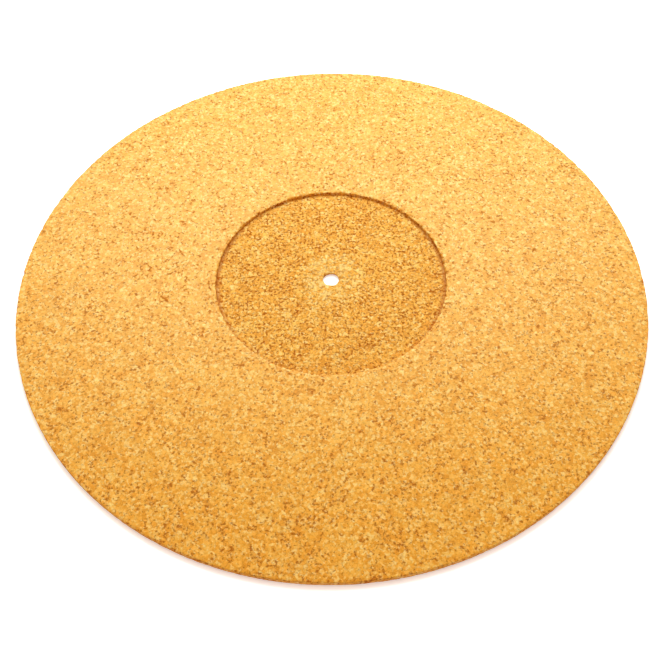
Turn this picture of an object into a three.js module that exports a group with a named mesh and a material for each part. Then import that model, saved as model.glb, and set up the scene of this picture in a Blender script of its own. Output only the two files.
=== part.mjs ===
// Platter mat for a turntable: one thin disc of fine agglomerated cork.
// Its top has a shallow round recess that clears a record's label, and a spindle hole
// goes through the middle of the recess. Every edge is slightly rounded by the cutting.
//
// Millimetres, +Z up. The origin is on the underside, on the axis of the spindle hole.

import * as THREE from "three";

// Disc
const discDiameter = 300;
const discThickness = 3;
const discEdgeRadius = 0.3;

// Label recess
const recessDiameter = 111;
const recessDepth = 1.5;
const recessRimRadius = 0.25;
const recessFootRadius = 0.2;
const recessFloorHeight = discThickness - recessDepth;

// Spindle hole
const spindleHoleDiameter = 7.5;
const spindleHoleRimRadius = 0.2;

// Finish of the cork
const corkColour = 0xebae5c;
const corkRoughness = 0.85;
const corkMetalness = 0;

// Fineness of the curves
const stepsAroundDisc = 180;
const stepsPerRoundedEdge = 2;

// A quarter turn in the plane of radius and height, as points from one angle to the other.
function roundedEdge(centreRadius, centreHeight, edgeRadius, startDegrees, endDegrees) {
  const points = [];
  for (let step = 0; step <= stepsPerRoundedEdge; step += 1) {
    const degrees = startDegrees + ((endDegrees - startDegrees) * step) / stepsPerRoundedEdge;
    const angle = THREE.MathUtils.degToRad(degrees);
    const radius = centreRadius + edgeRadius * Math.cos(angle);
    const height = centreHeight + edgeRadius * Math.sin(angle);
    points.push(new THREE.Vector2(radius, height));
  }
  return points;
}

// The cut outer edge, from the underside up to the top face.
function outerEdge() {
  const centreRadius = discDiameter / 2 - discEdgeRadius;
  return [
    ...roundedEdge(centreRadius, discEdgeRadius, discEdgeRadius, -90, 0),
    ...roundedEdge(centreRadius, discThickness - discEdgeRadius, discEdgeRadius, 0, 90),
  ];
}

// The recess wall, from its rim in the top face down to its foot on the recess floor.
function recessWall() {
  const wallRadius = recessDiameter / 2;
  const rimHeight = discThickness - recessRimRadius;
  const footHeight = recessFloorHeight + recessFootRadius;
  return [
    ...roundedEdge(wallRadius + recessRimRadius, rimHeight, recessRimRadius, 90, 180),
    ...roundedEdge(wallRadius - recessFootRadius, footHeight, recessFootRadius, 0, -90),
  ];
}

// The wall of the spindle hole, from the recess floor down to the underside.
function spindleHoleWall() {
  const centreRadius = spindleHoleDiameter / 2 + spindleHoleRimRadius;
  const upperRimHeight = recessFloorHeight - spindleHoleRimRadius;
  return [
    ...roundedEdge(centreRadius, upperRimHeight, spindleHoleRimRadius, 90, 180),
    ...roundedEdge(centreRadius, spindleHoleRimRadius, spindleHoleRimRadius, 180, 270),
  ];
}

// The section of the mat, turned once round the axis of the spindle hole.
function matGeometry() {
  const section = [...outerEdge(), ...recessWall(), ...spindleHoleWall()];
  section.push(section[0].clone());
  const geometry = new THREE.LatheGeometry(section, stepsAroundDisc);
  geometry.rotateX(Math.PI / 2);
  return geometry;
}

function corkMaterial() {
  return new THREE.MeshStandardMaterial({
    color: corkColour,
    roughness: corkRoughness,
    metalness: corkMetalness,
  });
}

function platterMat() {
  const mesh = new THREE.Mesh(matGeometry(), corkMaterial());
  mesh.name = "platter_mat";
  return mesh;
}

const turntableMat = new THREE.Group();
turntableMat.add(platterMat());

export default turntableMat;
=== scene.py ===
# Turntable platter mat: one disc of fine agglomerated cork, lying flat with its label recess up.
# Metres, +Z up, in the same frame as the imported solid.
import bpy
import math
from mathutils import Matrix, Vector


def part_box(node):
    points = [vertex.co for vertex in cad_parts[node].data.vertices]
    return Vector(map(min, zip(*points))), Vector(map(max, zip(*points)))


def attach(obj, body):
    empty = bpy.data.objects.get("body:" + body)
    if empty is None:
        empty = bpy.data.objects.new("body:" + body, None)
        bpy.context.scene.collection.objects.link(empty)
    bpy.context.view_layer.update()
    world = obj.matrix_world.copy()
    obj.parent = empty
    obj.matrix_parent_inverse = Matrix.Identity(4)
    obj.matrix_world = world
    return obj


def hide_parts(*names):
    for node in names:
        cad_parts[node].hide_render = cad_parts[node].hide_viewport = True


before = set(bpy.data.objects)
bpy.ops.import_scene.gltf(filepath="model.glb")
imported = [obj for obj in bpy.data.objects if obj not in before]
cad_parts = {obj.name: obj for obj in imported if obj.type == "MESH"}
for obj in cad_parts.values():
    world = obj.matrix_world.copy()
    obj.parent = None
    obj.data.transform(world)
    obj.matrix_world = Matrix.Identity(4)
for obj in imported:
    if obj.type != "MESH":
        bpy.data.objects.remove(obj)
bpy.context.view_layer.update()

# Sizes of the mat
mat_low, mat_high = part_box("platter_mat")
DISC_RADIUS = (mat_high.x - mat_low.x) / 2
DISC_THICKNESS = mat_high.z - mat_low.z
DISC_EDGE_RADIUS = 0.0003
RECESS_RADIUS = 0.0555
RECESS_DEPTH = 0.0015
RECESS_RIM_RADIUS = 0.00025
RECESS_FOOT_RADIUS = 0.0002
SPINDLE_HOLE_RADIUS = 0.00375
SPINDLE_HOLE_RIM_RADIUS = 0.0002

# How far each finish is worn down at most
SANDED_RELIEF = 0.00003
MILLED_RELIEF = 0.00022
CUT_RELIEF = 0.00012
RECESS_RIM_CHIPS = 0.0006
CUT_EDGE_CHIPS = 0.0003
UNDERSIDE_CHIPS = 0.0001
HOLE_CHIPS = 0.0002

# Spacing of the surface points
STEPS_AROUND = 1792
MOST_STEPS_JOINED = 16
JOIN_DISTANCE = 0.000001
SANDED_SPACING = 0.0019
MILLED_SPACING = 0.0006
UNDERSIDE_SPACING = 0.003
WALL_SPACING = 0.0004
SPACING_GROWTH = 0.3
STEPS_PER_ROUNDED_EDGE = 2

# Granules and chips of the cork. CHIP_EDGE gives the noise level at which a chip starts and is full.
GRANULE_SIZE = 0.0017
SMALL_GRANULE_SIZE = 0.001
CHIP_SIZE = 0.0022
CHIP_REACH = 0.001
CHIP_EDGE = (0.46, 0.68)
FIXED_SEED = 7.3

# Finishes, by the number that the faces carry
SANDED = 0
MILLED = 1
CUT = 2


def srgb(red, green, blue):
    """A colour given as screen values from 0 to 255, in Blender's linear values."""
    shares = [value / 255 for value in (red, green, blue)]
    return tuple(s / 12.92 if s <= 0.04045 else ((s + 0.055) / 1.055) ** 2.4 for s in shares) + (1.0,)


# Nodes

def connect(tree, value, socket):
    """Links a socket to another socket, or gives it a plain value."""
    if isinstance(value, bpy.types.NodeSocket):
        tree.links.new(value, socket)
    else:
        socket.default_value = value


def add(tree, kind, sockets=None, **settings):
    """Adds a node with its settings, and fills its sockets by name or number."""
    node = tree.nodes.new(kind)
    for name, value in settings.items():
        setattr(node, name, value)
    for key, value in (sockets or {}).items():
        connect(tree, value, node.inputs[key])
    return node


def maths(tree, operation, *values):
    """A number worked out from up to three others."""
    node = add(tree, "ShaderNodeMath", dict(enumerate(values)), operation=operation)
    return node.outputs[0]


def vector_maths(tree, operation, *values):
    node = add(tree, "ShaderNodeVectorMath", dict(enumerate(values)), operation=operation)
    return node.outputs["Vector"]


def scaled(tree, vector, factor):
    node = add(tree, "ShaderNodeVectorMath", {"Vector": vector, "Scale": factor}, operation="SCALE")
    return node.outputs["Vector"]


def turned(tree, vector, angle):
    """A vector turned round Z."""
    sockets = {"Vector": vector, "Angle": angle}
    return add(tree, "ShaderNodeVectorRotate", sockets, rotation_type="Z_AXIS").outputs["Vector"]


def smooth_step(tree, value, low, high):
    """0 below low and 1 above high, with a soft change between."""
    sockets = {"Value": value, "From Min": low, "From Max": high}
    node = add(tree, "ShaderNodeMapRange", sockets, interpolation_type="SMOOTHSTEP")
    return node.outputs["Result"]


def blend_numbers(tree, factor, first, second):
    node = add(tree, "ShaderNodeMix", {0: factor, 2: first, 3: second}, data_type="FLOAT")
    return node.outputs[0]


def blend_colours(tree, factor, first, second, way="MIX"):
    sockets = {0: factor, 6: first, 7: second}
    node = add(tree, "ShaderNodeMix", sockets, data_type="RGBA", blend_type=way)
    return node.outputs[2]


def noise(tree, vector, size, detail=2.0, roughness=0.5):
    """Soft noise whose blotches are about size metres across."""
    sockets = {"Vector": vector, "Scale": maths(tree, "DIVIDE", 1.0, size), "Detail": detail,
               "Roughness": roughness}
    return add(tree, "ShaderNodeTexNoise", sockets, noise_dimensions="3D")


def new_group(name, kind, inputs, outputs):
    """A node group with named inputs and outputs. Returns it with its input and output nodes."""
    tree = bpy.data.node_groups.new(name, kind)
    for label, socket_type in inputs.items():
        tree.interface.new_socket(label, in_out="INPUT", socket_type=socket_type)
    for label, socket_type in outputs.items():
        tree.interface.new_socket(label, in_out="OUTPUT", socket_type=socket_type)
    return tree, tree.nodes.new("NodeGroupInput"), tree.nodes.new("NodeGroupOutput")


# Section of the mat

def stations(length, first_step, middle_step, last_step):
    """Distances along a stretch, with steps that grow from the first one and shrink to the last one."""
    places = [0.0]
    while places[-1] < length:
        done = places[-1]
        left = max(length - done, 0.0)
        growing = first_step + SPACING_GROWTH * done
        shrinking = last_step + SPACING_GROWTH * left
        places.append(done + min(middle_step, growing, shrinking))
    return [place * length / places[-1] for place in places]


def straight(start, end, first_step, middle_step, last_step):
    """Points of radius and height from start up to, but without, end."""
    start, end = Vector(start), Vector(end)
    length = (end - start).length
    places = stations(length, first_step, middle_step, last_step)
    return [start.lerp(end, place / length) for place in places[:-1]]


def rounded(centre, radius, start_degrees, end_degrees):
    """Points of a rounded edge up to, but without, its end."""
    points = []
    for step in range(STEPS_PER_ROUNDED_EDGE):
        share = step / STEPS_PER_ROUNDED_EDGE
        angle = math.radians(start_degrees + (end_degrees - start_degrees) * share)
        points.append(Vector(centre) + radius * Vector((math.cos(angle), math.sin(angle))))
    return points


def mat_section():
    """The mat's section as rows of (radius and height, finish, relief), and its chipped corners.

    It runs from the outer edge inwards over the top, down the hole and back along the underside. Each
    corner comes with how deep its chips are."""
    top = DISC_THICKNESS
    floor = DISC_THICKNESS - RECESS_DEPTH
    disc, edge = DISC_RADIUS, DISC_EDGE_RADIUS
    recess, rim, foot = RECESS_RADIUS, RECESS_RIM_RADIUS, RECESS_FOOT_RADIUS
    hole, hole_rim = SPINDLE_HOLE_RADIUS, SPINDLE_HOLE_RIM_RADIUS
    fine = WALL_SPACING
    stretches = [
        (rounded((disc - edge, edge), edge, -90, 0), CUT, CUT_RELIEF),
        (straight((disc, edge), (disc, top - edge), fine, fine, fine), CUT, CUT_RELIEF),
        (rounded((disc - edge, top - edge), edge, 0, 90), CUT, CUT_RELIEF),
        (straight((disc - edge, top), (recess + rim, top), fine, SANDED_SPACING, fine), SANDED,
         SANDED_RELIEF),
        (rounded((recess + rim, top - rim), rim, 90, 180), MILLED, MILLED_RELIEF),
        (straight((recess, top - rim), (recess, floor + foot), fine, fine, fine), MILLED, MILLED_RELIEF),
        (rounded((recess - foot, floor + foot), foot, 0, -90), MILLED, MILLED_RELIEF),
        (straight((recess - foot, floor), (hole + hole_rim, floor), fine, MILLED_SPACING, fine), MILLED,
         MILLED_RELIEF),
        (rounded((hole + hole_rim, floor - hole_rim), hole_rim, 90, 180), CUT, CUT_RELIEF),
        (straight((hole, floor - hole_rim), (hole, hole_rim), fine, fine, fine), CUT, CUT_RELIEF),
        (rounded((hole + hole_rim, hole_rim), hole_rim, 180, 270), CUT, CUT_RELIEF),
        (straight((hole + hole_rim, 0.0), (disc - edge, 0.0), fine, UNDERSIDE_SPACING, fine), SANDED,
         SANDED_RELIEF),
    ]
    rows = [(point, finish, relief) for points, finish, relief in stretches for point in points]
    corners = [
        (Vector((disc, 0.0)), UNDERSIDE_CHIPS), (Vector((disc, top)), CUT_EDGE_CHIPS),
        (Vector((recess, top)), RECESS_RIM_CHIPS),
        (Vector((hole, floor)), HOLE_CHIPS), (Vector((hole, 0.0)), HOLE_CHIPS),
    ]
    return rows, corners


def chip_depth(point, corners):
    """How deep a chip may be at a point of the section. It fades with the distance from the corner."""
    depths = []
    for corner, depth in corners:
        distance = (point - corner).length / CHIP_REACH
        depths.append(depth * max(0.0, 1.0 - distance ** 2))
    return max(depths)


def sinking_ways(points):
    """The way into the cork at each point of the section, smoothed so that it turns slowly at a corner."""
    lengths = [(points[i] - points[i - 1]).length for i in range(len(points))]
    ways = []
    for i in range(len(points)):
        ends = []
        for step in (1, -1):
            place, gone = i, 0.0
            while gone < CHIP_REACH / 2:
                gone += lengths[(place + 1) % len(points)] if step > 0 else lengths[place]
                place = (place + step) % len(points)
            ends.append(points[place])
        along = (ends[0] - ends[1]).normalized()
        ways.append((-along.y, 0.0, along.x))
    return ways


def section_object(rows, corners):
    """The section as a closed line of points in the XZ plane, with what each row carries."""
    mesh = bpy.data.meshes.new("mat_section")
    points = [row[0] for row in rows]
    edges = [(i, (i + 1) % len(rows)) for i in range(len(rows))]
    mesh.from_pydata([(point.x, 0.0, point.y) for point in points], edges, [])
    carried = {
        "spacing": [(points[i] - points[i - 1]).length for i in range(len(rows))],
        "relief": [row[2] for row in rows],
        "chips": [chip_depth(point, corners) for point in points],
    }
    for name, values in carried.items():
        mesh.attributes.new(name, "FLOAT", "POINT").data.foreach_set("value", values)
    finish = mesh.attributes.new("finish", "INT", "POINT")
    finish.data.foreach_set("value", [row[1] for row in rows])
    ways = [number for way in sinking_ways(points) for number in way]
    mesh.attributes.new("inward", "FLOAT_VECTOR", "POINT").data.foreach_set("vector", ways)
    piece = bpy.data.objects.new("cork_mat", mesh)
    bpy.context.scene.collection.objects.link(piece)
    return piece


# Shape of the mat, as Geometry Nodes

def named_value(tree, name, kind="FLOAT"):
    """What the mesh carries under a name."""
    return add(tree, "GeometryNodeInputNamedAttribute", {"Name": name}, data_type=kind).outputs[0]


def sample_row(tree, section, name, kind, row):
    """What the section carries at a row."""
    if name == "position":
        value = add(tree, "GeometryNodeInputPosition").outputs["Position"]
    else:
        value = named_value(tree, name, kind)
    sockets = {"Geometry": section, "Value": value, "Index": row}
    return add(tree, "GeometryNodeSampleIndex", sockets, data_type=kind, domain="POINT").outputs[0]


def store(tree, geometry, name, kind, domain, value):
    sockets = {"Geometry": geometry, "Name": name, "Value": value}
    node = add(tree, "GeometryNodeStoreNamedAttribute", sockets, data_type=kind, domain=domain)
    return node.outputs["Geometry"]


def turned_section(tree, given):
    """Turns the section once round Z.

    Towards the axis, points are joined by twos, fours and so on, so that the faces stay about as wide
    as they are long."""
    section = given.outputs["Section"]
    around = given.outputs["Steps Around"]
    size = add(tree, "GeometryNodeAttributeDomainSize", {"Geometry": section}, component="MESH")
    rows = size.outputs["Point Count"]
    per_row = maths(tree, "ADD", around, 1.0)
    grid = add(tree, "GeometryNodeMeshGrid", {"Size X": 1.0, "Size Y": 1.0, "Vertices Y": per_row,
                                               "Vertices X": maths(tree, "ADD", rows, 1.0)})
    index = add(tree, "GeometryNodeInputIndex").outputs["Index"]

    face_row = maths(tree, "FLOOR", maths(tree, "DIVIDE", maths(tree, "ADD", index, 0.5), around))
    finish = sample_row(tree, section, "finish", "INT", face_row)
    sheet = store(tree, grid.outputs["Mesh"], "finish", "INT", "FACE", finish)

    row = maths(tree, "FLOOR", maths(tree, "DIVIDE", maths(tree, "ADD", index, 0.5), per_row))
    column = maths(tree, "SUBTRACT", index, maths(tree, "MULTIPLY", row, per_row))
    row = maths(tree, "MODULO", row, rows)
    for name in ("relief", "chips"):
        sheet = store(tree, sheet, name, "FLOAT", "POINT", sample_row(tree, section, name, "FLOAT", row))

    place = sample_row(tree, section, "position", "FLOAT_VECTOR", row)
    split = add(tree, "ShaderNodeSeparateXYZ", {"Vector": place})
    radius = split.outputs["X"]
    step_angle = maths(tree, "DIVIDE", 2 * math.pi, around)
    spacing = sample_row(tree, section, "spacing", "FLOAT", row)
    wanted = maths(tree, "DIVIDE", spacing, maths(tree, "MULTIPLY", radius, step_angle))
    doublings = maths(tree, "ROUND", maths(tree, "LOGARITHM", wanted, 2.0))
    joined = maths(tree, "POWER", 2.0, doublings)
    joined = maths(tree, "MAXIMUM", 1.0, maths(tree, "MINIMUM", joined, given.outputs["Most Steps Joined"]))
    column = maths(tree, "MULTIPLY", maths(tree, "FLOOR", maths(tree, "DIVIDE", column, joined)), joined)
    angle = maths(tree, "MULTIPLY", maths(tree, "MODULO", column, around), step_angle)
    inward = sample_row(tree, section, "inward", "FLOAT_VECTOR", row)
    sheet = store(tree, sheet, "inward", "FLOAT_VECTOR", "POINT", turned(tree, inward, angle))
    sockets = {"Geometry": sheet, "Position": turned(tree, place, angle)}
    placed = add(tree, "GeometryNodeSetPosition", sockets)
    outward = add(tree, "GeometryNodeFlipFaces", {"Mesh": placed.outputs[0]}).outputs[0]
    sockets = {"Geometry": outward, "Distance": given.outputs["Join Distance"]}
    return add(tree, "GeometryNodeMergeByDistance", sockets).outputs["Geometry"]


def worn_surface(tree, geometry, given):
    """Sinks the surface into the cork: granules torn to different depths, and chips along the edges."""
    position = add(tree, "GeometryNodeInputPosition").outputs["Position"]
    seed = given.outputs["Seed"]
    shifted = vector_maths(tree, "ADD", position, add(tree, "ShaderNodeCombineXYZ", {"Z": seed}).outputs[0])
    scale = maths(tree, "DIVIDE", 1.0, given.outputs["Granule Size"])
    cells = add(tree, "ShaderNodeTexVoronoi", {"Vector": shifted, "Scale": scale}, feature="SMOOTH_F1")
    level = add(tree, "ShaderNodeSeparateXYZ", {"Vector": cells.outputs["Color"]}).outputs["X"]
    torn = maths(tree, "MULTIPLY", named_value(tree, "relief"), maths(tree, "MAXIMUM", level, 0.0))

    blotch = noise(tree, shifted, given.outputs["Chip Size"], detail=3.0).outputs[0]
    chip = smooth_step(tree, blotch, *CHIP_EDGE)
    depth = maths(tree, "ADD", torn, maths(tree, "MULTIPLY", named_value(tree, "chips"), chip))

    offset = scaled(tree, named_value(tree, "inward", "FLOAT_VECTOR"), depth)
    return add(tree, "GeometryNodeSetPosition", {"Geometry": geometry, "Offset": offset}).outputs[0]


def finished_faces(tree, geometry, given):
    """Smooth shading, real geometry and one material for each finish."""
    smooth = add(tree, "GeometryNodeSetShadeSmooth", {"Geometry": geometry, "Shade Smooth": True})
    geometry = add(tree, "GeometryNodeRealizeInstances", {"Geometry": smooth.outputs[0]}).outputs[0]
    sockets = {"Geometry": geometry, "Material": given.outputs["Sanded Face"]}
    geometry = add(tree, "GeometryNodeSetMaterial", sockets).outputs[0]
    finish = named_value(tree, "finish", "INT")
    for number, label in ((MILLED, "Milled Recess"), (CUT, "Cut Edge")):
        same = add(tree, "FunctionNodeCompare", {2: finish, 3: number}, data_type="INT", operation="EQUAL")
        sockets = {"Geometry": geometry, "Selection": same.outputs[0], "Material": given.outputs[label]}
        geometry = add(tree, "GeometryNodeSetMaterial", sockets).outputs[0]
    return geometry


def mat_shape_tree():
    """The whole shape: the section turned, its surface worn, and its faces given their finishes."""
    inputs = {
        "Section": "NodeSocketGeometry",
        "Steps Around": "NodeSocketInt", "Most Steps Joined": "NodeSocketInt",
        "Join Distance": "NodeSocketFloat", "Granule Size": "NodeSocketFloat",
        "Chip Size": "NodeSocketFloat", "Seed": "NodeSocketFloat",
        "Sanded Face": "NodeSocketMaterial", "Milled Recess": "NodeSocketMaterial",
        "Cut Edge": "NodeSocketMaterial",
    }
    outputs = {"Mat": "NodeSocketGeometry"}
    tree, given, result = new_group("cork_mat_shape", "GeometryNodeTree", inputs, outputs)
    disc = turned_section(tree, given)
    worn_disc = worn_surface(tree, disc, given)
    connect(tree, finished_faces(tree, worn_disc, given), result.inputs["Mat"])
    return tree


def set_inputs(modifier, values):
    """Gives a modifier's named inputs their values, by each socket's identifier."""
    for item in modifier.node_group.interface.items_tree:
        if item.in_out == "INPUT" and item.name in values:
            modifier[item.identifier] = values[item.name]


def cork_mat(materials):
    """The mat as one closed mesh, worked out by the Geometry Nodes and then made plain."""
    piece = section_object(*mat_section())
    modifier = piece.modifiers.new("shape", "NODES")
    modifier.node_group = mat_shape_tree()
    values = {
        "Steps Around": STEPS_AROUND, "Most Steps Joined": MOST_STEPS_JOINED,
        "Join Distance": JOIN_DISTANCE, "Granule Size": GRANULE_SIZE, "Chip Size": CHIP_SIZE,
        "Seed": FIXED_SEED,
    }
    set_inputs(modifier, {**values, **materials})
    depsgraph = bpy.context.evaluated_depsgraph_get()
    mesh = bpy.data.meshes.new_from_object(piece.evaluated_get(depsgraph), depsgraph=depsgraph)
    piece.modifiers.clear()
    mesh.materials.pop(index=0)
    piece.data = mesh
    return piece


# Looks of the cork. A pair gives where a soft change starts and where it ends.

CORK_TONES = [
    (0.0, srgb(231, 149, 28)),
    (0.35, srgb(246, 171, 54)),
    (0.7, srgb(251, 191, 82)),
    (1.0, srgb(254, 216, 130)),
]
CORK_WARM = srgb(250, 163, 40)
CORK_WARM_SHARE = 0.2
PORE_COLOUR = srgb(177, 83, 0)
BARK_DARK = srgb(138, 64, 0)
BARK_LIGHT = srgb(190, 98, 2)
BARK_STRENGTH = 0.9
CORK_GLOSS = 0.34
CORK_GLOSS_TINT = (1.0, 1.0, 0.76, 1.0)
BUMP_HEIGHT = 0.0001

# Granules, in two sizes, and the gaps between them, which fade out in places
GRANULE_WANDER = 0.6
SWAY_SHARE = 0.8
SMALL_PATCH_SIZE = 0.003
SMALL_PATCH_EDGE = (0.44, 0.54)
GAP_WIDTH = 0.0003
GAP_FADE_SIZE = 0.0014
GAP_FADE_EDGE = (0.4, 0.6)

# Fine grain and broad mottling
GRAIN_SIZE = 0.0007
MOTTLE_SIZE = 0.008
MOTTLE_STRENGTH = 0.15

# Pores and bark flecks
PORE_CROWD_SIZE = 0.006
PORE_SOFTNESS = 0.2
FLECK_SHAPE = {"Spacing": 0.0042, "Length": 0.0024, "Slimness": 1.7}
FLECK_HALF_SHARE = 0.25
FLECK_RAG_SIZE = 0.3
FLECK_RAGGEDNESS = 1.4
FLECK_EDGE = (0.65, 1.1)

# Around the hole the cork is paler and less torn
NEAR_HOLE = (0.01, 0.021)
NEAR_HOLE_PALER = 0.25
NEAR_HOLE_FEWER_PORES = 0.35

# Painted shade on the recess floor, in a ring beside the wall, which ends above the foot of the wall.
# It is full to the left and right of the axis, and least straight in front of it and behind it, where the
# lamps' own shadow of the wall falls.
PAINTED_SHADE_RING = (0.053, 0.0552)
PAINTED_SHADE_TOP = (0.0016, 0.0022)
PAINTED_SHADE_FADE = (0.3, 1.0)
PAINTED_SHADE_LEAST = 0.15

# What differs between the finishes. Heights and depths are shares of BUMP_HEIGHT.
SANDED_FINISH = {
    "roughness": 0.38, "grain": 0.2, "fleck_share": 0.16, "gap_strength": 0.3,
    "pore_size": 0.0012, "pore_threshold": 0.54, "pore_crowding": 0.2, "pore_strength": 0.87,
    "level_height": 0.06, "gap_depth": 0.08, "pore_depth": 0.12, "grain_height": 0.08,
    "painted_wall_shade": 0.0,
}
MILLED_FINISH = {
    **SANDED_FINISH, "roughness": 0.58, "grain": 0.36, "fleck_share": 0.22, "gap_strength": 0.5,
    "pore_threshold": 0.5, "pore_strength": 0.95,
    "level_height": 0.9, "gap_depth": 1.0, "pore_depth": 1.2, "grain_height": 0.6,
    # Strength of the painted shade beside the recess wall
    "painted_wall_shade": 0.6,
}
CUT_FINISH = {
    **MILLED_FINISH, "gap_strength": 0.4, "pore_threshold": 0.53, "pore_strength": 0.85,
    "painted_wall_shade": 0.0,
}


# Cork, as shader node groups

def granule_group():
    """Granules of cork pressed together.

    Each has a random tone, warmth and level, and there are gaps between them. The edges of the
    granules wander, by a share of their size."""
    inputs = {"Vector": "NodeSocketVector", "Granule Size": "NodeSocketFloat",
              "Gap Width": "NodeSocketFloat", "Wander": "NodeSocketFloat"}
    outputs = {name: "NodeSocketFloat" for name in ("Tone", "Warmth", "Level", "Gap")}
    tree, given, result = new_group("cork_granules", "ShaderNodeTree", inputs, outputs)
    size = given.outputs["Granule Size"]
    sway = noise(tree, given.outputs["Vector"], maths(tree, "MULTIPLY", size, SWAY_SHARE), detail=2.0)
    sway = vector_maths(tree, "SUBTRACT", sway.outputs["Color"], (0.5, 0.5, 0.5))
    sway = scaled(tree, sway, maths(tree, "MULTIPLY", size, given.outputs["Wander"]))
    place = vector_maths(tree, "ADD", given.outputs["Vector"], sway)
    scale = maths(tree, "DIVIDE", 1.0, size)
    cells = add(tree, "ShaderNodeTexVoronoi", {"Vector": place, "Scale": scale}, feature="F1")
    random = add(tree, "ShaderNodeSeparateXYZ", {"Vector": cells.outputs["Color"]})
    edges = add(tree, "ShaderNodeTexVoronoi", {"Vector": place, "Scale": scale}, feature="DISTANCE_TO_EDGE")
    edge_distance = maths(tree, "MULTIPLY", edges.outputs["Distance"], size)
    inside = smooth_step(tree, edge_distance, 0.0, given.outputs["Gap Width"])
    connect(tree, random.outputs["X"], result.inputs["Tone"])
    connect(tree, random.outputs["Y"], result.inputs["Warmth"])
    connect(tree, random.outputs["Z"], result.inputs["Level"])
    connect(tree, maths(tree, "SUBTRACT", 1.0, inside), result.inputs["Gap"])
    return tree


def fleck_group():
    """Slim flecks of dark bark, each turned its own way."""
    inputs = {"Vector": "NodeSocketVector", "Spacing": "NodeSocketFloat", "Length": "NodeSocketFloat",
              "Slimness": "NodeSocketFloat", "Share": "NodeSocketFloat"}
    outputs = {"Fleck": "NodeSocketFloat", "Shade": "NodeSocketFloat"}
    tree, given, result = new_group("bark_flecks", "ShaderNodeTree", inputs, outputs)
    place, length = given.outputs["Vector"], given.outputs["Length"]
    scale = maths(tree, "DIVIDE", 1.0, given.outputs["Spacing"])
    cells = add(tree, "ShaderNodeTexVoronoi", {"Vector": place, "Scale": scale}, feature="F1")
    random = add(tree, "ShaderNodeSeparateXYZ", {"Vector": cells.outputs["Color"]})
    local = vector_maths(tree, "SUBTRACT", place, cells.outputs["Position"])
    turn = maths(tree, "MULTIPLY", random.outputs["X"], 2 * math.pi)
    slim = add(tree, "ShaderNodeCombineXYZ", {"X": 1.0, "Y": given.outputs["Slimness"], "Z": 1.0})
    shaped = vector_maths(tree, "MULTIPLY", turned(tree, local, turn), slim.outputs[0])
    distance = add(tree, "ShaderNodeVectorMath", {0: shaped}, operation="LENGTH").outputs["Value"]
    longer = maths(tree, "MULTIPLY", FLECK_HALF_SHARE, random.outputs["Y"])
    half = maths(tree, "MULTIPLY", length, maths(tree, "ADD", FLECK_HALF_SHARE, longer))
    reach = maths(tree, "DIVIDE", distance, half)
    ragged = noise(tree, place, maths(tree, "MULTIPLY", length, FLECK_RAG_SIZE), detail=1.0).outputs[0]
    ragged = maths(tree, "MULTIPLY", maths(tree, "SUBTRACT", ragged, 0.5), FLECK_RAGGEDNESS)
    reach = maths(tree, "ADD", reach, ragged)
    inside = maths(tree, "SUBTRACT", 1.0, smooth_step(tree, reach, *FLECK_EDGE))
    chosen = maths(tree, "LESS_THAN", random.outputs["Z"], given.outputs["Share"])
    connect(tree, maths(tree, "MULTIPLY", inside, chosen), result.inputs["Fleck"])
    connect(tree, random.outputs["Y"], result.inputs["Shade"])
    return tree


def pore_group():
    """Small torn pores of uneven shape. They crowd together in some places and thin out in others."""
    inputs = {"Vector": "NodeSocketVector", "Size": "NodeSocketFloat", "Crowd Size": "NodeSocketFloat",
              "Threshold": "NodeSocketFloat", "Softness": "NodeSocketFloat",
              "Crowding": "NodeSocketFloat"}
    tree, given, result = new_group("cork_pores", "ShaderNodeTree", inputs, {"Pore": "NodeSocketFloat"})
    fine = noise(tree, given.outputs["Vector"], given.outputs["Size"], detail=1.2).outputs[0]
    crowd = noise(tree, given.outputs["Vector"], given.outputs["Crowd Size"], detail=1.0).outputs[0]
    crowd = maths(tree, "MULTIPLY", maths(tree, "SUBTRACT", crowd, 0.5), given.outputs["Crowding"])
    strength = maths(tree, "ADD", fine, crowd)
    low = given.outputs["Threshold"]
    pore = smooth_step(tree, strength, low, maths(tree, "ADD", low, given.outputs["Softness"]))
    connect(tree, pore, result.inputs["Pore"])
    return tree


def place_group(tree, group, values):
    """Places a shader node group with its own values."""
    node = add(tree, "ShaderNodeGroup", node_tree=group)
    for name, value in values.items():
        connect(tree, value, node.inputs[name])
    return node


def tone_ramp(tree, factor, tones):
    """The colour for a tone from 0 to 1, between the given pairs of tone and colour."""
    node = add(tree, "ShaderNodeValToRGB", {"Fac": factor})
    ramp = node.color_ramp
    ramp.interpolation = "LINEAR"
    while len(ramp.elements) < len(tones):
        ramp.elements.new(0.5)
    for element, (place, colour) in zip(ramp.elements, tones):
        element.position = place
        element.color = colour
    return node.outputs["Color"]


def laid_over(tree, colour, second, mask, strength):
    """Lays a second colour over the first where the mask shows it."""
    return blend_colours(tree, maths(tree, "MULTIPLY", mask, strength), colour, second)


def mixed_granules(tree, groups, place):
    """Large granules with patches of small ones: their tone, warmth and level, and the gaps."""
    large, small = [
        place_group(tree, groups["granules"], {
            "Vector": place, "Granule Size": size, "Gap Width": GAP_WIDTH, "Wander": GRANULE_WANDER})
        for size in (GRANULE_SIZE, SMALL_GRANULE_SIZE)]
    patch = noise(tree, place, SMALL_PATCH_SIZE, detail=1.0).outputs[0]
    patch = smooth_step(tree, patch, *SMALL_PATCH_EDGE)
    tone, warmth, level, gap = [
        blend_numbers(tree, patch, large.outputs[name], small.outputs[name])
        for name in ("Tone", "Warmth", "Level", "Gap")]
    kept = noise(tree, place, GAP_FADE_SIZE, detail=1.0).outputs[0]
    gap = maths(tree, "MULTIPLY", gap, smooth_step(tree, kept, *GAP_FADE_EDGE))
    return tone, warmth, level, gap


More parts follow.
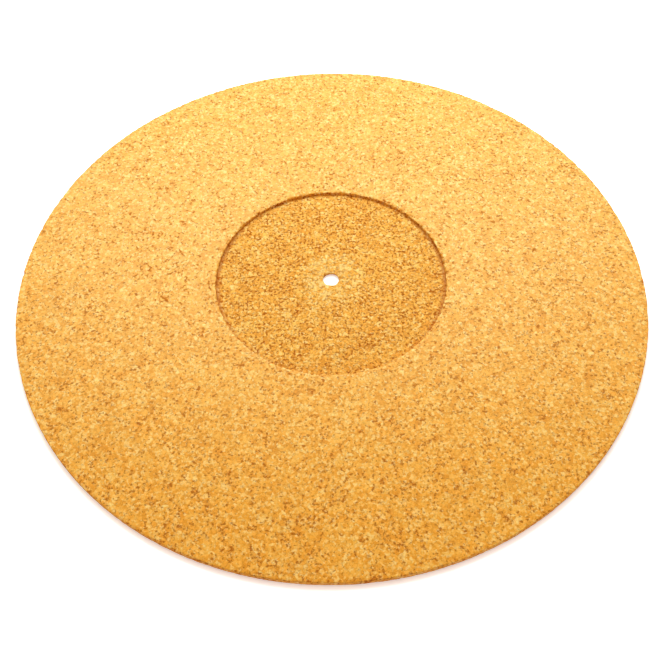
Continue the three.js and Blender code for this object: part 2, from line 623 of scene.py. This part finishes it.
def distance_from_axis(tree, split):
    """How far a place, split into X, Y and Z, is from the axis of the hole."""
    flat = add(tree, "ShaderNodeCombineXYZ", {"X": split.outputs["X"], "Y": split.outputs["Y"]})
    return add(tree, "ShaderNodeVectorMath", {0: flat.outputs[0]}, operation="LENGTH").outputs["Value"]


def torn_pores(tree, groups, place, near_hole, finish):
    """The pores of one finish, fewer around the hole."""
    pores = place_group(tree, groups["pores"], {
        "Vector": place, "Size": finish["pore_size"], "Crowd Size": PORE_CROWD_SIZE,
        "Threshold": finish["pore_threshold"], "Softness": PORE_SOFTNESS,
        "Crowding": finish["pore_crowding"]}).outputs["Pore"]
    fewer = maths(tree, "MULTIPLY", near_hole, NEAR_HOLE_FEWER_PORES)
    return maths(tree, "MULTIPLY", pores, maths(tree, "SUBTRACT", 1.0, fewer))


def shaded(tree, place, colour, grain, finish):
    """Makes the cork a little lighter and darker, with the fine grain and with broad mottling."""
    mottle = noise(tree, place, MOTTLE_SIZE, detail=2.0).outputs[0]
    shade = maths(tree, "ADD", maths(tree, "MULTIPLY", grain, finish["grain"]),
                  maths(tree, "MULTIPLY", mottle, MOTTLE_STRENGTH))
    shade = maths(tree, "ADD", shade, 1.0 - finish["grain"] / 2 - MOTTLE_STRENGTH / 2)
    grey = add(tree, "ShaderNodeCombineColor", {"Red": shade, "Green": shade, "Blue": shade})
    return blend_colours(tree, 1.0, colour, grey.outputs[0], "MULTIPLY")


def painted_wall_shade(tree, split, from_axis, finish):
    """How strong the painted shade is on the recess floor beside its wall."""
    painted_shade = maths(tree, "MULTIPLY", smooth_step(tree, from_axis, *PAINTED_SHADE_RING), finish["painted_wall_shade"])
    above_foot = smooth_step(tree, split.outputs["Z"], *PAINTED_SHADE_TOP)
    painted_shade = maths(tree, "MULTIPLY", painted_shade, maths(tree, "SUBTRACT", 1.0, above_foot))
    front_or_back = maths(tree, "ABSOLUTE", maths(tree, "DIVIDE", split.outputs["Y"], from_axis))
    front_or_back = smooth_step(tree, front_or_back, *PAINTED_SHADE_FADE)
    return maths(tree, "MULTIPLY", painted_shade, blend_numbers(tree, front_or_back, 1.0, PAINTED_SHADE_LEAST))


def fine_relief(tree, level, gap, pores, grain, finish):
    """Raised granules and grain, and sunk gaps and pores, as a bumped normal."""
    height = maths(tree, "MULTIPLY", level, finish["level_height"])
    height = maths(tree, "SUBTRACT", height, maths(tree, "MULTIPLY", gap, finish["gap_depth"]))
    height = maths(tree, "SUBTRACT", height, maths(tree, "MULTIPLY", pores, finish["pore_depth"]))
    height = maths(tree, "ADD", height, maths(tree, "MULTIPLY", grain, finish["grain_height"]))
    sockets = {"Height": height, "Distance": BUMP_HEIGHT, "Strength": 1.0}
    return add(tree, "ShaderNodeBump", sockets).outputs["Normal"]


def cork_material(name, groups, finish):
    """Cork in one finish."""
    material = bpy.data.materials.new(name)
    material.use_nodes = True
    tree = material.node_tree
    shader = tree.nodes["Principled BSDF"]
    place = add(tree, "ShaderNodeTexCoord").outputs["Object"]
    split = add(tree, "ShaderNodeSeparateXYZ", {"Vector": place})
    from_axis = distance_from_axis(tree, split)
    near_hole = maths(tree, "SUBTRACT", 1.0, smooth_step(tree, from_axis, *NEAR_HOLE))

    tone, warmth, level, gap = mixed_granules(tree, groups, place)
    grain = noise(tree, place, GRAIN_SIZE, detail=2.0).outputs[0]
    pores = torn_pores(tree, groups, place, near_hole, finish)
    flecks = place_group(tree, groups["flecks"], {
        "Vector": place, **FLECK_SHAPE, "Share": finish["fleck_share"]})

    tone = maths(tree, "ADD", tone, maths(tree, "SUBTRACT", grain, 0.5))
    tone = maths(tree, "ADD", tone, maths(tree, "MULTIPLY", near_hole, NEAR_HOLE_PALER))
    colour = laid_over(tree, tone_ramp(tree, tone, CORK_TONES), CORK_WARM, warmth, CORK_WARM_SHARE)
    colour = shaded(tree, place, colour, grain, finish)
    colour = laid_over(tree, colour, PORE_COLOUR, gap, finish["gap_strength"])
    colour = laid_over(tree, colour, PORE_COLOUR, pores, finish["pore_strength"])
    # Painted shade: the pore colour laid on the recess floor beside the wall, standing in for shade at its
    # foot
    painted_shade = painted_wall_shade(tree, split, from_axis, finish)
    colour = blend_colours(tree, painted_shade, colour, PORE_COLOUR)
    bark = blend_colours(tree, flecks.outputs["Shade"], BARK_DARK, BARK_LIGHT)
    colour = laid_over(tree, colour, bark, flecks.outputs["Fleck"], BARK_STRENGTH)
    connect(tree, colour, shader.inputs["Base Color"])

    shader.inputs["Specular IOR Level"].default_value = CORK_GLOSS
    shader.inputs["Specular Tint"].default_value = CORK_GLOSS_TINT
    dull = maths(tree, "MAXIMUM", pores, flecks.outputs["Fleck"])
    connect(tree, blend_numbers(tree, dull, finish["roughness"], 1.0), shader.inputs["Roughness"])
    connect(tree, fine_relief(tree, level, gap, pores, grain, finish), shader.inputs["Normal"])
    return material


def cork_materials():
    groups = {"granules": granule_group(), "flecks": fleck_group(), "pores": pore_group()}
    return {
        "Sanded Face": cork_material("cork_sanded_face", groups, SANDED_FINISH),
        "Milled Recess": cork_material("cork_milled_recess", groups, MILLED_FINISH),
        "Cut Edge": cork_material("cork_cut_edge", groups, CUT_FINISH),
    }


# Studio

WHITE = (1.0, 1.0, 1.0, 1.0)
CAMERA_ELEVATION = math.radians(55.54)
CAMERA_ROLL = math.radians(-1.175)
CAMERA_DISTANCE = 0.4239
CAMERA_LENS = 47.48
CAMERA_SENSOR = 36.0
CAMERA_CLIP_START = 0.01
AIM_RIGHT = 0.00021
AIM_UP = -0.02681

# Place, width, depth and power in watts of each lamp. They all aim at the middle of the mat.
LAMPS = {
    "lamp_near": ((0.0, 0.25, 0.32), 0.6, 0.2, 1.25),
    "lamp_low": ((0.0, 0.9, 0.6), 1.2, 0.5, 4.45),
    "lamp_back": ((0.0, 1.45, 1.5), 1.6, 0.8, 8.7),
    "lamp_front": ((0.0, -0.9, 0.3), 1.0, 0.3, 1.0),
    "lamp_left": ((-0.7, 0.5, 0.85), 0.5, 0.5, 1.05),
    "lamp_right": ((0.7, 0.5, 0.85), 0.5, 0.5, 1.05),
}
LAMP_COLOUR = (0.8, 1.02, 1.0)
WORLD_COLOUR = (1.42, 0.86, 0.6, 1.0)
WORLD_STRENGTH = 0.3

# The floor's own light is weaker under the mat and in a ring beside it, where its shadow falls
FLOOR_HALF_WIDTH = 3.0
FLOOR_DROP = 0.00002
FLOOR_PAINT = (0.92, 0.92, 0.92, 1.0)
FLOOR_LIGHT_IN_SHADOW = 0.4
FLOOR_LIGHT = 1.0
SHADOW_RING = 0.004


def add_camera():
    """The camera looks down at the top face from the front, at the angle of the photograph."""
    camera_data = bpy.data.cameras.new("camera")
    camera_data.sensor_width = CAMERA_SENSOR
    camera_data.lens = CAMERA_LENS
    camera_data.clip_start = CAMERA_CLIP_START
    right = Vector((1.0, 0.0, 0.0))
    up = Vector((0.0, math.sin(CAMERA_ELEVATION), math.cos(CAMERA_ELEVATION)))
    back = right.cross(up)
    aim = Vector((0.0, 0.0, DISC_THICKNESS)) + right * AIM_RIGHT + up * AIM_UP
    turned_right = right * math.cos(CAMERA_ROLL) + up * math.sin(CAMERA_ROLL)
    turned_up = up * math.cos(CAMERA_ROLL) - right * math.sin(CAMERA_ROLL)
    turn = Matrix((turned_right, turned_up, back)).transposed().to_4x4()
    camera = bpy.data.objects.new("camera", camera_data)
    camera.matrix_world = Matrix.Translation(aim + back * CAMERA_DISTANCE) @ turn
    bpy.context.scene.collection.objects.link(camera)
    bpy.context.scene.camera = camera


def add_lamp(name, place, width, depth, power):
    """A soft rectangular lamp that aims at the middle of the mat."""
    lamp_data = bpy.data.lights.new(name, "AREA")
    lamp_data.shape = "RECTANGLE"
    lamp_data.size = width
    lamp_data.size_y = depth
    lamp_data.energy = power
    lamp_data.color = LAMP_COLOUR
    lamp = bpy.data.objects.new(name, lamp_data)
    lamp.location = place
    lamp.rotation_euler = (Vector() - Vector(place)).to_track_quat("-Z", "Y").to_euler()
    lamp.visible_camera = False
    bpy.context.scene.collection.objects.link(lamp)


def seen_white(tree, shade, seen_strength):
    """Adds plain white light of its own to a shade, for the camera and for reflections only."""
    path = add(tree, "ShaderNodeLightPath")
    seen = maths(tree, "MAXIMUM", path.outputs["Is Camera Ray"], path.outputs["Is Glossy Ray"])
    seen = maths(tree, "MAXIMUM", seen, path.outputs["Is Transmission Ray"])
    strength = maths(tree, "MULTIPLY", seen, seen_strength)
    white = add(tree, "ShaderNodeEmission", {"Color": WHITE, "Strength": strength})
    return add(tree, "ShaderNodeAddShader", {0: shade, 1: white.outputs[0]}).outputs[0]


def add_floor():
    """A plain white floor that keeps the shadow of the mat."""
    half, low = FLOOR_HALF_WIDTH, -FLOOR_DROP
    mesh = bpy.data.meshes.new("floor")
    corners = [(-half, -half, low), (half, -half, low), (half, half, low), (-half, half, low)]
    mesh.from_pydata(corners, [], [(0, 1, 2, 3)])
    floor = bpy.data.objects.new("floor", mesh)
    bpy.context.scene.collection.objects.link(floor)
    material = bpy.data.materials.new("white_floor")
    material.use_nodes = True
    tree = material.node_tree
    tree.nodes.clear()
    paint = add(tree, "ShaderNodeBsdfDiffuse", {"Color": FLOOR_PAINT})
    place = add(tree, "ShaderNodeTexCoord").outputs["Object"]
    from_axis = add(tree, "ShaderNodeVectorMath", {0: place}, operation="LENGTH").outputs["Value"]
    clear = smooth_step(tree, from_axis, DISC_RADIUS, DISC_RADIUS + SHADOW_RING)
    own_light = blend_numbers(tree, clear, FLOOR_LIGHT_IN_SHADOW, FLOOR_LIGHT)
    output = add(tree, "ShaderNodeOutputMaterial")
    connect(tree, seen_white(tree, paint.outputs[0], own_light), output.inputs["Surface"])
    mesh.materials.append(material)


def add_world():
    """Even, warm light from all round. The camera sees it as white."""
    world = bpy.data.worlds.new("studio")
    world.use_nodes = True
    tree = world.node_tree
    tree.nodes.clear()
    light = add(tree, "ShaderNodeBackground", {"Color": WORLD_COLOUR, "Strength": WORLD_STRENGTH})
    white = add(tree, "ShaderNodeBackground", {"Color": WHITE, "Strength": 1.0})
    path = add(tree, "ShaderNodeLightPath")
    mixed = add(tree, "ShaderNodeMixShader", {0: path.outputs["Is Camera Ray"], 1: light.outputs[0],
                                              2: white.outputs[0]})
    output = add(tree, "ShaderNodeOutputWorld")
    connect(tree, mixed.outputs[0], output.inputs["Surface"])
    bpy.context.scene.world = world


def add_studio():
    bpy.context.scene.view_settings.view_transform = "Standard"
    add_camera()
    add_floor()
    add_world()
    for name, (place, width, depth, power) in LAMPS.items():
        add_lamp(name, place, width, depth, power)


mat = cork_mat(cork_materials())
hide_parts("platter_mat")
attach(mat, "root")
add_studio()
